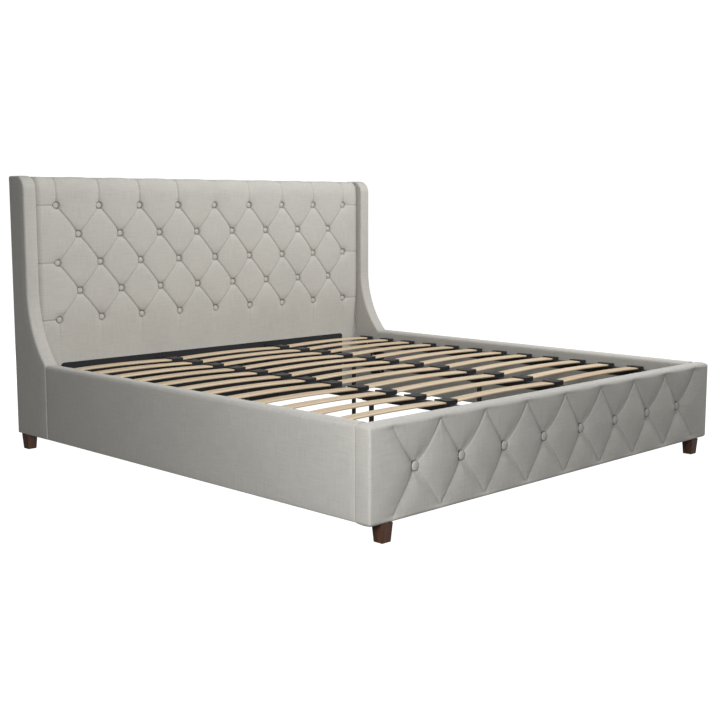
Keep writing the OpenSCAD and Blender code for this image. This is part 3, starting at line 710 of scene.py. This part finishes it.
to_sweep = np.hypot(wing_d - sweep_centre[0], wing_z - sweep_centre[1]) - sweep_r
to_base = np.minimum(to_sweep, wing_base - wing_d)
to_front = np.where(wing_z < sweep_centre[1], to_base, wing_depth - wing_d)
in_corner = (wing_d > corner_centre[0]) & (wing_z > corner_centre[1])
to_corner = corner_r - np.hypot(wing_d - corner_centre[0], wing_z - corner_centre[1])
to_front = np.where(in_corner, to_corner, to_front)
front_r_here = seam_r + (front_edge_r - seam_r) * ramp(wing_z - rail_high.z + 0.02, 0.04)
thinner = np.maximum.reduce([
    round_off(np.maximum(to_front, 0.0), front_r_here),
    round_off(wing_d, back_edge_r),
    round_off(wing_z - wing_low.z, bottom_r),
    round_off(wing_high.z - wing_z, top_edge_soft_r),
])
side_limit = 0.004
side_slack = 0.004
wing_x, wing_rise_z, wing_rise = settled(wing_base, wing_height, limit=side_limit, slack=side_slack)
over_face = smooth_weights(edge_z, wing_rise_z + wing_low.z) @ wing_rise.T
over_face = over_face @ smooth_weights(shares, wing_x / wing_base + 0.5).T * ramp(to_front, 0.03)
past_headboard = ramp(wing_d - 0.10, 0.05)
for side, word in ((-1, "left"), (1, "right")):
    wing = make_mesh(
        f"wing_upholstery_{word}",
        slab_grids(
            lambda a, u, c: np.stack([side * (side_middle + c), wall_y - a, u + 0 * c], axis=-1),
            wing_d,
            wing_z,
            half=side_t / 2 - wing_clear - thinner,
            near=wing_pad + outer_share * over_face,
            far=inner_share * over_face * past_headboard,
            border_bulge=boxing_bulge,
        ),
    )
    finish_piece(wing, linen, "linen", f"wing_cover_{word}")


# ---- side rails ----
# Straight boards padded and covered like the wings, butted against them at a close seam.
rail_length = rail_high.y - rail_low.y
rail_height = rail_high.z - rail_low.z
top_edge_r = 0.016
butt_r = 0.003
rail_clear = 0.0010
rail_pad = 0.0015
rail_bulge = 0.0010
rail_y = graded(rail_low.y, rail_high.y, seam_r, 0.009)
rail_z = np.concatenate([
    graded(rail_low.z, rail_high.z - top_edge_r, bottom_r, 0.009)[:-6],
    rail_high.z - top_edge_r * (1.0 - np.cos(np.linspace(math.pi / 2, 0.0, 11))),
])
rail_a, rail_u = np.meshgrid(rail_y, rail_z, indexing="ij")
rail_x, rail_rise_z, rail_rise = settled(rail_length, rail_height, limit=side_limit, slack=side_slack)
rail_swell = smooth_weights(rail_y - rail_low.y, rail_x + rail_length / 2) @ rail_rise
rail_swell = rail_swell @ smooth_weights(rail_z, rail_rise_z + rail_low.z).T
thinner = np.maximum.reduce([
    round_off(rail_high.z - rail_u, top_edge_r),
    round_off(rail_u - rail_low.z, bottom_r),
    round_off(rail_high.y - rail_a, seam_r),
    round_off(rail_a - rail_low.y, butt_r),
])
for side, word in ((-1, "left"), (1, "right")):
    rail = make_mesh(
        f"side_rail_upholstery_{word}",
        slab_grids(
            lambda a, u, c: np.stack([side * (side_middle + c), a + 0 * c, u + 0 * c], axis=-1),
            rail_a,
            rail_u,
            half=side_t / 2 - rail_clear - thinner,
            near=rail_pad + outer_share * rail_swell,
            far=inner_share * rail_swell,
            border_bulge=rail_bulge,
        ),
    )
    finish_piece(rail, linen, "linen", f"side_rail_cover_{word}")


# ---- footboard ----
# A thick padded board across the foot end. One row of large buttons draws the linen into folds
# that run from each button to the top and bottom edges and meet there between the buttons.
foot_low, foot_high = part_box("footboard_tufted_cover")
foot_buttons_low, foot_buttons_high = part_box("footboard_buttons")
foot_button_d = 0.032
foot_button_count = 8
foot_button_t = foot_buttons_high.y - foot_buttons_low.y
foot_step = (foot_buttons_high.x - foot_buttons_low.x - foot_button_d) / (foot_button_count - 1) / 2
foot_button_z = (foot_buttons_low.z + foot_buttons_high.z) / 2
fold_top = foot_high.z - 0.014
fold_bottom = foot_low.z + 0.010
foot_t = foot_high.y - foot_low.y
foot_height = foot_high.z - foot_low.z
foot_middle_y = (foot_high.y + foot_low.y) / 2
foot_edge_r = 0.016
foot_bottom_r = 0.012
foot_end_r = 0.009
foot_corner_r = 0.014
foot_proud = 0.003


def nearest_foot_button(x):
    """The place across of the nearest button, which are at the odd half steps from the middle."""
    last = foot_button_count / 2
    return (2 * np.clip(np.round((x / foot_step - 1) / 2), -last, last - 1) + 1) * foot_step


def folds(x, z):
    """How far inside the triangle over or under the nearest button, in metres, and the share of
    the way up or down to the fold's end. It is below zero in the diamonds between the buttons.
    The folds leave the button at a slant and bow until they are steeper at their ends."""
    aside = np.abs(x - nearest_foot_button(x)) / foot_step
    rise = np.where(z > foot_button_z, fold_top - foot_button_z, foot_button_z - fold_bottom)
    share = np.abs(z - foot_button_z) / rise
    bow = np.where(z > foot_button_z, 0.30, 0.12) * share * ramp(1.0 - share, 1.0)
    return (share + bow - aside) / np.hypot(1.0 / foot_step, 1.0 / rise), share


foot_x = graded(foot_low.x, foot_high.x, foot_corner_r, 0.0036, rings=9)
foot_z = graded(foot_low.z, foot_high.z, foot_edge_r, 0.0036, rings=9)
foot_a, foot_u = np.meshgrid(foot_x, foot_z, indexing="ij")
foot_rise_x, foot_rise_z, foot_rise = settled(
    foot_high.x - foot_low.x,
    foot_height,
    limit=0.009,
    held=lambda x, z: np.abs(folds(x, z + foot_low.z)[0]) < held_half,
    slack=0.002,
    step=0.010,
)
foot_swell = smooth_weights(foot_x, foot_rise_x) @ foot_rise
foot_swell = foot_swell @ smooth_weights(foot_z, foot_rise_z + foot_low.z).T

# how far each point is drawn in: a wide valley and a sharp groove along each fold, flat facets
# over and under the buttons, and a pocket and a flat seat at each button
foot_valley_dip = 0.0050
foot_valley_at_button = 0.0035
foot_valley_w = 0.085
facet_dip = 0.0060
foot_groove_dip = 0.0024
foot_pocket_dip = 0.0092
foot_seat_dip = 0.0040
foot_seat_r = 0.0205
foot_clear = 0.0010
foot_swell_share = 0.75
to_button = np.hypot(foot_a - nearest_foot_button(foot_a), foot_u - foot_button_z)
inside, share = folds(foot_a, foot_u)
distance = np.abs(inside)
full = ramp(1.03 - share, 0.08)
leaning = (foot_u > foot_button_z) & (foot_a > nearest_foot_button(foot_a))
valley = foot_valley_dip + foot_valley_at_button * bell(to_button, 0.08)
valley = valley * ramp(foot_valley_w - distance, foot_valley_w) ** 2 * full
facet = facet_dip * ramp(1.0 - share, 1.0) * ramp(inside, 0.007)
groove = foot_groove_dip * bell(distance, 0.0026) * full * np.where(leaning, 1.4, 0.8)
pocket = foot_pocket_dip * bell(to_button, 0.046)
seat = foot_seat_dip * ramp(foot_seat_r - to_button, 0.004)
foot_inward = foot_clear + valley + facet + groove + pocket + seat - foot_swell_share * foot_swell
edge_fade = np.minimum.reduce([
    ramp(foot_high.z - foot_u, 0.010),
    ramp(foot_u - foot_low.z, 0.010),
    ramp(foot_high.x - np.abs(foot_a), 0.02),
])
foot_thinner = np.maximum.reduce([
    round_off(foot_high.z - foot_u, foot_edge_r),
    round_off(foot_u - foot_low.z, foot_bottom_r),
    round_off(foot_high.x - np.abs(foot_a), foot_end_r),
])


def rounded_corners(across, up, half_width, low, high, low_r, high_r):
    """Draws the corners of a rectangle in, so that each corner square becomes a quarter disc.

    With p and q going from 0 to 1 over the square, p becomes p times the root of 1 less half the
    square of q, and q likewise.
    """
    new_across, new_up = across.copy(), up.copy()
    for radius, pole, sign in ((low_r, low + low_r, -1.0), (high_r, high - high_r, 1.0)):
        p = np.clip((np.abs(across) - (half_width - radius)) / radius, 0.0, 1.0)
        q = np.clip(sign * (up - pole) / radius, 0.0, 1.0)
        inside = (p > 0) & (q > 0)
        moved_p = p * np.sqrt(1.0 - q**2 / 2)
        moved_q = q * np.sqrt(1.0 - p**2 / 2)
        moved_across = np.sign(across) * (half_width - radius + radius * moved_p)
        new_across = np.where(inside, moved_across, new_across)
        new_up = np.where(inside, pole + sign * radius * moved_q, new_up)
    return new_across, new_up


foot_a2, foot_u2 = rounded_corners(
    foot_a, foot_u, foot_high.x, foot_low.z, foot_high.z, foot_corner_r, foot_corner_r
)
foot_a2 = foot_a2 * (1.0 + foot_proud / foot_high.x)
foot_grids = slab_grids(
    lambda a, u, c: np.stack([a + 0 * c, foot_middle_y - c, u + 0 * c], axis=-1),
    foot_a2,
    foot_u2,
    half=foot_t / 2 - foot_thinner,
    near=-foot_inward * edge_fade,
    far=0.0 * foot_a,
    border_bulge=boxing_bulge,
)
# painted shade in the colour along the folds, darker on the folds that rise to the right over the
# buttons, and a dark ring round each button
fold_shade = np.where(leaning, 0.5, 0.25) * bell(distance, 0.0022) * full
foot_painted_shade = np.clip(fold_shade + 0.40 * bell(to_button - 0.0175, 0.002), 0.0, 1.0)
foot_grids[0] = (foot_grids[0][0], foot_grids[0][1], foot_painted_shade)
footboard = make_mesh("footboard_cover", foot_grids)
finish_piece(footboard, linen, "linen", "footboard_tufted_cover")

foot_places = [
    ((2 * i - foot_button_count + 1) * foot_step, foot_button_z) for i in range(foot_button_count)
]
foot_buttons = covered_buttons(
    "footboard_covered_buttons", foot_places, foot_button_d, foot_buttons_low.y, foot_button_t, seed=5
)
finish_piece(foot_buttons, linen, "button_linen", "footboard_buttons")


# ---- black cloth on the headboard's lower front ----
# Non-woven cloth is stapled over the foam where the mattress hides it, in place of the linen.
# It is thin, matt and felted, and it is pulled flat.
def stretched_sheet(name, node, corner, step, ripple, seed):
    """A thin closed sheet over a node's box, its corners rounded, with a faint uneven tension.

    The unevenness is the mean of six sine waves with drawn directions, faded out at the edges.
    """
    low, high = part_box(node)
    x = graded(low.x, high.x, corner, step, rings=6)
    z = graded(low.z, high.z, corner, step, rings=6)
    across, up = np.meshgrid(x, z, indexing="ij")
    draws = np.random.default_rng(seed)
    wave_count = 6
    waves = sum(
        np.sin(across * draws.uniform(4, 26) + up * draws.uniform(-14, 14) + draws.uniform(0, 6))
        for _ in range(wave_count)
    )
    edge = np.minimum.reduce([high.x - across, across - low.x, high.z - up, up - low.z])
    uneven = ripple * (waves / wave_count) * ramp(edge, 0.03)
    half_t = (high.y - low.y) / 2
    half = half_t - round_off(np.maximum(edge, 0.0), half_t * 0.9)
    across, up = rounded_corners(across, up, high.x, low.z, high.z, corner, corner)
    middle = (low.y + high.y) / 2
    return make_mesh(
        name,
        slab_grids(
            lambda a, u, c: np.stack([a + 0 * c, middle - c, u + 0 * c], axis=-1),
            across,
            up,
            half,
            near=uneven,
            far=-uneven,
            border_bulge=0.0,
        ),
    )


nonwoven, fibre, shader = new_finish(
    "black_cloth", Roughness=0.95, Sheen_Weight=0.15, Specular_IOR_Level=0.2
)
place = fibre.node("UVMap", {"uv_map": "cloth"})
felt = place.stretched(700.0, 700.0).noise(4.0, 0.7)
patches = place.stretched(30.0, 30.0).noise(2.0)
black_low = (0.012, 0.012, 0.014)
black_high = (0.032, 0.032, 0.035)
feed(shader, "Base Color", (felt * 0.7 + patches * 0.3).mixed(black_low, black_high))
feed(shader, "Normal", raised(fibre, felt, 0.0005, 0.6))
dust_cloth = stretched_sheet(
    "headboard_black_cloth", "headboard_dust_cloth", corner=0.015, step=0.02, ripple=0.0002, seed=11
)
finish_piece(dust_cloth, nonwoven, "dust_cloth", "headboard_dust_cloth")


# ---- linen on the headboard's back ----
# A plain panel of the same linen closes the back of the frame. It is stapled along the stiles and
# the rails, under the tufted cover's hem.
back_panel = stretched_sheet(
    "headboard_back_panel", "headboard_back_cover", corner=0.004, step=0.012, ripple=0.0003, seed=12
)
finish_piece(back_panel, linen, "linen", "headboard_back_cover")


# ---- slats ----
# Thirty-nine slats of bent beech veneer with rounded edges, thirteen to each column. They bow
# upwards, and their ends are pushed into plastic holders.
beech, wood, shader = new_finish("beech", Roughness=0.5, Coat_Weight=0.12, Coat_Roughness=0.35)
place = wood.node("TexCoord", out="Object")
streaks = place.stretched(2.2, 95.0, 95.0).noise(4.0, 0.55)
pores = place.stretched(30.0, 900.0, 900.0).noise(2.0, 0.6)
boards = place.stretched(0.7, 6.6, 0.2).noise(0.0)
tone = (streaks - 0.5) * 1.5 + (boards - 0.5) * 1.0 + (pores - 0.5) * 0.5 + 0.5
feed(shader, "Base Color", tone.clipped().mixed((0.560, 0.420, 0.270), (0.740, 0.600, 0.420)))
feed(shader, "Roughness", (streaks * 0.2 + 0.38).clipped())
feed(shader, "Normal", raised(wood, pores * 0.6 + streaks * 0.4, 0.0004, 0.5))

slat_rows = 13
slat_w = 0.055
slat_t = 0.008
slat_bow = 0.007
slat_edge_r = 0.0035


def rounded_section(width, height, radius, turns=5):
    """A rounded rectangle's outline as a closed loop of points, centred on the origin."""
    corners = []
    for number, (sx, sz) in enumerate(((1, 1), (-1, 1), (-1, -1), (1, -1))):
        angle = np.linspace(0.0, math.pi / 2, turns) + number * math.pi / 2
        corners.append(np.stack([
            sx * (width / 2 - radius) + radius * np.cos(angle),
            sz * (height / 2 - radius) + radius * np.sin(angle),
        ], axis=1))
    loop = np.concatenate(corners)
    return np.concatenate([loop, loop[:1]])


for word in ("left", "middle", "right"):
    low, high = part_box(f"slats_{word}")
    along = np.linspace(low.x, high.x, 41)
    chord = high.x - low.x
    bend_r = ((chord / 2) ** 2 + slat_bow**2) / (2 * slat_bow)
    # each slat is a rounded section carried along an arc whose rise is the bow
    from_middle = along - (low.x + high.x) / 2
    lean = np.arcsin(from_middle / bend_r)
    centre_z = high.z - slat_t / 2 - bend_r + np.sqrt(bend_r**2 - from_middle**2)
    section = rounded_section(slat_w, slat_t, slat_edge_r)
    step = (high.y - low.y - slat_w) / (slat_rows - 1)
    grids = []
    rings = []
    size = len(along) * len(section)
    for row in range(slat_rows):
        y = low.y + slat_w / 2 + row * step + section[None, :, 0] + 0 * along[:, None]
        x = along[:, None] + section[None, :, 1] * np.sin(lean)[:, None]
        z = centre_z[:, None] + section[None, :, 1] * np.cos(lean)[:, None]
        x = np.clip(x, low.x, high.x)
        points = np.stack([x, y, z], axis=-1)
        grids.append((points, points[..., :2], np.zeros(points.shape[:2])))
        first = row * size
        rings.append(first + np.arange(len(section) - 1))
        rings.append(first + size - len(section) + np.arange(len(section) - 1)[::-1])
    slats = make_mesh(f"bent_slats_{word}", grids, rings)
    finish_piece(slats, beech, "beech", f"slats_{word}")


# ---- slat holders ----
# Moulded in black plastic with softened edges: single ones stand on the side ledges, and double
# ones clip over the centre rails, with a slat in each mouth.
def softened(node, name, width, segments=2):
    """A copy of a node's solid, its triangles joined into whole faces and its edges rounded."""
    work = bmesh.new()
    work.from_mesh(frame["nodes"][node].data)
    bmesh.ops.remove_doubles(work, verts=work.verts, dist=1e-6)
    bmesh.ops.dissolve_limit(
        work,
        angle_limit=math.radians(1.0),
        verts=work.verts,
        edges=work.edges,
        use_dissolve_boundaries=False,
    )
    mesh = bpy.data.meshes.new(name)
    work.to_mesh(mesh)
    work.free()
    made = bpy.data.objects.new(name, mesh)
    scene.collection.objects.link(made)
    bevel = made.modifiers.new("rounding", "BEVEL")
    bevel.width = width
    bevel.segments = segments
    bevel.limit_method = "ANGLE"
    bevel.angle_limit = math.radians(35.0)
    return made


holder, plastic, shader = new_finish("holder_plastic", Specular_IOR_Level=0.5)
place = plastic.node("TexCoord", out="Object")
spark = place.stretched(1400.0, 1400.0, 1400.0).noise(2.0)
flow = place.stretched(25.0, 25.0, 25.0).noise(2.0)
feed(shader, "Base Color", flow.mixed((0.014, 0.014, 0.016), (0.026, 0.026, 0.029)))
feed(shader, "Roughness", (spark * 0.18 + flow * 0.12 + 0.32).clipped())
feed(shader, "Normal", raised(plastic, spark, 0.0003, 0.5))
holder_edge_r = 0.0010
for node in ("side_caps_left", "side_caps_right", "double_caps_left", "double_caps_right"):
    caps = softened(node, node.replace("caps", "slat_holders"), holder_edge_r)
    finish_piece(caps, holder, "holder_plastic", node)


# ---- feet ----
# Blocks of wood stained like walnut, tapered to the floor and lacquered. A hanger bolt in each
# one's top screws up into the frame.
walnut, wood, shader = new_finish("walnut", Coat_Weight=0.25, Coat_Roughness=0.3)
place = wood.node("TexCoord", out="Object")
bands = place.stretched(70.0, 70.0, 5.0).noise(4.0, 0.6)
fine = place.stretched(600.0, 600.0, 30.0).noise(2.0)
tone = ((bands - 0.5) * 2.2 + (fine - 0.5) * 0.8 + 0.5).clipped()
feed(shader, "Base Color", tone.mixed((0.030, 0.013, 0.008), (0.125, 0.052, 0.026)))
feed(shader, "Roughness", (bands * 0.2 + 0.35).clipped())
feed(shader, "Normal", raised(wood, fine * 0.6 + bands * 0.4, 0.0004, 0.5))
foot_block_edge_r = 0.0018
for node in ("foot_head_left", "foot_head_right", "foot_front_left", "foot_front_right"):
    foot = softened(node, "wooden_" + node, foot_block_edge_r, segments=3)
    finish_piece(foot, walnut, "walnut", node)


# ---- timber frame and plywood ----
# Sawn pine boards stand inside the headboard, wings, rails and footboard, and a sheet of poplar
# plywood carries the tufting. They are screwed and glued, and all out of sight.
def sawn_wood(name, low, high, along):
    """Grain on object coordinates, drawn out along one axis."""
    made, wood, shader = new_finish(name, Roughness=0.75, Specular_IOR_Level=0.3)
    place = wood.node("TexCoord", out="Object")
    scales = [40.0, 40.0, 40.0]
    scales[along] = 1.6
    rings = place.stretched(*scales).noise(5.0, 0.6)
    hair = place.stretched(*[scale * 16 for scale in scales]).noise(1.0)
    feed(shader, "Base Color", ((rings - 0.5) * 2.0 + hair * 0.3 + 0.35).clipped().mixed(low, high))
    feed(shader, "Roughness", (hair * 0.2 + 0.65).clipped())
    feed(shader, "Normal", raised(wood, hair * 0.5 + rings * 0.5, 0.0006, 0.6))
    return made


def refinish(finish, nodes):
    """Puts a finish on CAD nodes, whose shapes stay as they are."""
    for node in nodes:
        materials = frame["nodes"][node].data.materials
        materials.clear()
        materials.append(finish)


def nodes_of(slot):
    """The nodes that the record gives this material slot."""
    return [part["node"] for part in frame["record"]["subparts"] if part["material_slot"] == slot]


pine_low = (0.46, 0.29, 0.13)
pine_high = (0.72, 0.53, 0.31)
across_bed = ["headboard_top_rail", "headboard_middle_rail", "headboard_bottom_rail", "footboard_board"]
along_bed = ["side_rail_board_left", "side_rail_board_right"]
upright = [node for node in nodes_of("timber") if node not in across_bed + along_bed]
refinish(sawn_wood("pine_upright", pine_low, pine_high, along=2), upright)
refinish(sawn_wood("pine_across", pine_low, pine_high, along=0), across_bed)
refinish(sawn_wood("pine_along", pine_low, pine_high, along=1), along_bed)
poplar = sawn_wood("poplar_plywood", (0.44, 0.29, 0.15), (0.64, 0.46, 0.27), along=0)
refinish(poplar, nodes_of("plywood"))


# ---- steel under-frame ----
# The ledges, centre rails, cradles, legs, plates and brackets are mild steel with a black powder
# coat: a fine orange peel, and a little dust that dulls it in patches.
steel, coat, shader = new_finish("black_steel", Specular_IOR_Level=0.5)
place = coat.node("TexCoord", out="Object")
peel = place.stretched(420.0, 420.0, 420.0).noise(2.0)
dust = place.stretched(6.0, 6.0, 6.0).noise(3.0)
feed(shader, "Base Color", dust.mixed((0.010, 0.010, 0.012), (0.022, 0.022, 0.024)))
feed(shader, "Roughness", (peel * 0.15 + dust * 0.15 + 0.32).clipped())
feed(shader, "Normal", raised(coat, peel, 0.0003, 0.4))
refinish(steel, nodes_of("black_steel"))


# ---- levelling glides ----
# A moulded plastic disc on a threaded stud screws into each centre leg's foot. Its colour is a
# worn black, scuffed in fine patches all over.
glide_plastic, plastic, shader = new_finish("glide_plastic", Specular_IOR_Level=0.5)
place = plastic.node("TexCoord", out="Object")
scuff = place.stretched(500.0, 500.0, 120.0).noise(3.0)
feed(shader, "Base Color", scuff.mixed((0.020, 0.020, 0.022), (0.045, 0.045, 0.047)))
feed(shader, "Roughness", (scuff * 0.3 + 0.35).clipped())
feed(shader, "Normal", raised(plastic, scuff, 0.0003, 0.5))
refinish(glide_plastic, nodes_of("glide_plastic"))


# ---- bolts and screws ----
# Steel fasteners with a bright zinc plate, which has a fine crystal pattern. They hold the wings,
# rails, footboard, ledges, legs and feet together.
zinc, plate, shader = new_finish("zinc", Metallic=1.0)
place = plate.node("TexCoord", out="Object")
spangle = place.stretched(300.0, 300.0, 300.0).noise(3.0)
feed(shader, "Base Color", spangle.mixed((0.42, 0.43, 0.46), (0.68, 0.70, 0.73)))
feed(shader, "Roughness", (spangle * 0.25 + 0.22).clipped())
feed(shader, "Normal", raised(plate, spangle, 0.0001, 0.4))
refinish(zinc, nodes_of("zinc"))
